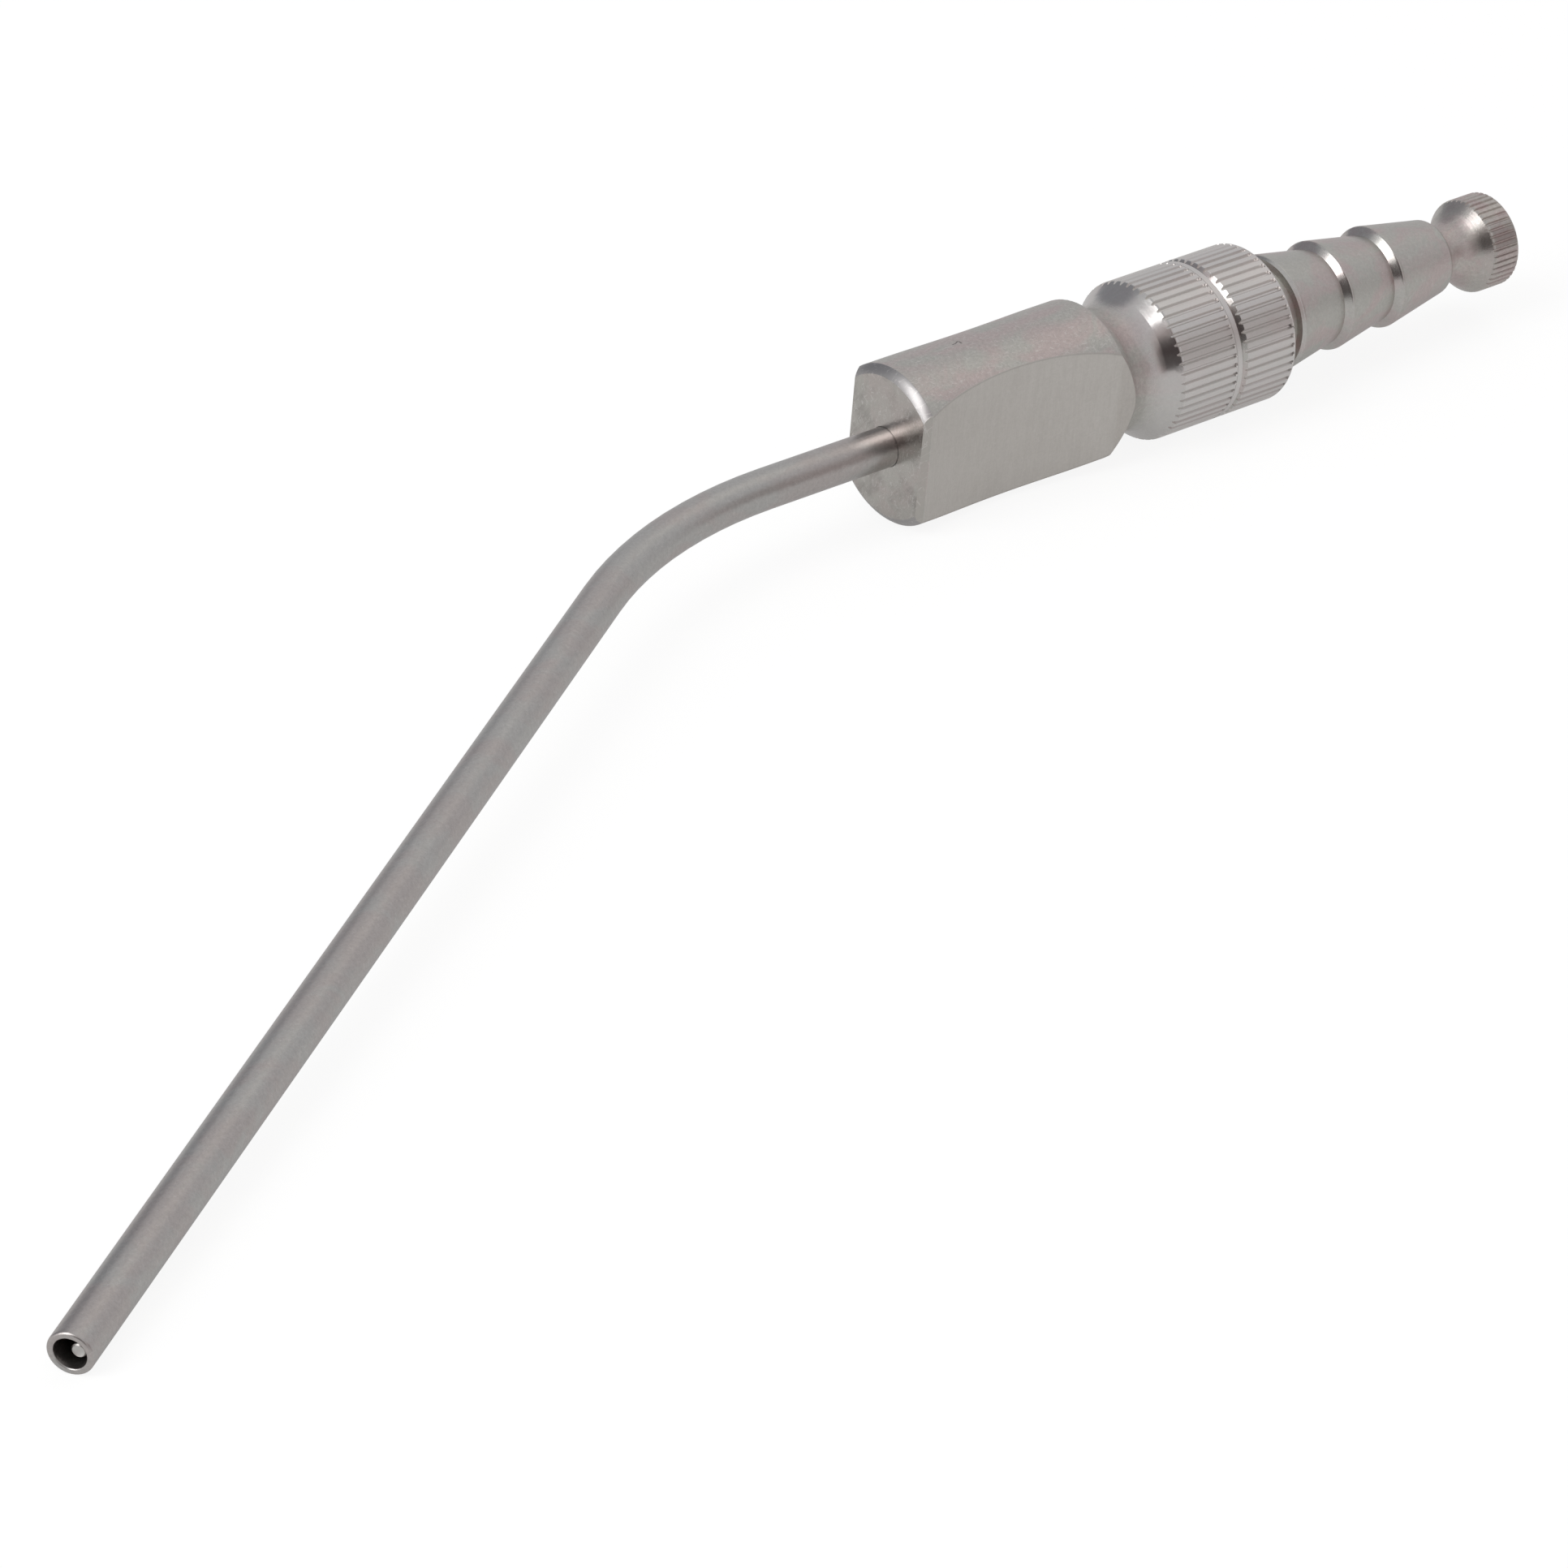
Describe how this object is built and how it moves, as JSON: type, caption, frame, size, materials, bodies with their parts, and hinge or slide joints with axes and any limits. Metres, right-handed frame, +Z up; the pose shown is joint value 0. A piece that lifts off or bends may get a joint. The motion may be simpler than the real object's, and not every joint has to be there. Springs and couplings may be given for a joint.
{
  "type": "frazier suction tube",
  "caption": "Bent steel suction tube with a dished finger-rest handle and thumb vent, knurled screw joint, barbed hose connector and a knob-ended cleaning stylet in place.",
  "frame": {"origin": "under the middle of the whole part, at the table it lies on", "axes": "+X along the handle's axis from the tube end to the knob, +Z up from the table"},
  "size_m": [0.1638, 0.0604, 0.0121],
  "materials": {
    "tube_steel": "fine blasted stainless",
    "body_steel": "satin stainless with polished edges",
    "wire_steel": "drawn stainless wire"
  },
  "bodies": {
    "root": {"suction_tube": "tube_steel", "handle": "body_steel", "hose_connector": "body_steel", "stylet_knob": "body_steel", "stylet_wire": "wire_steel"}
  },
  "joints": []
}
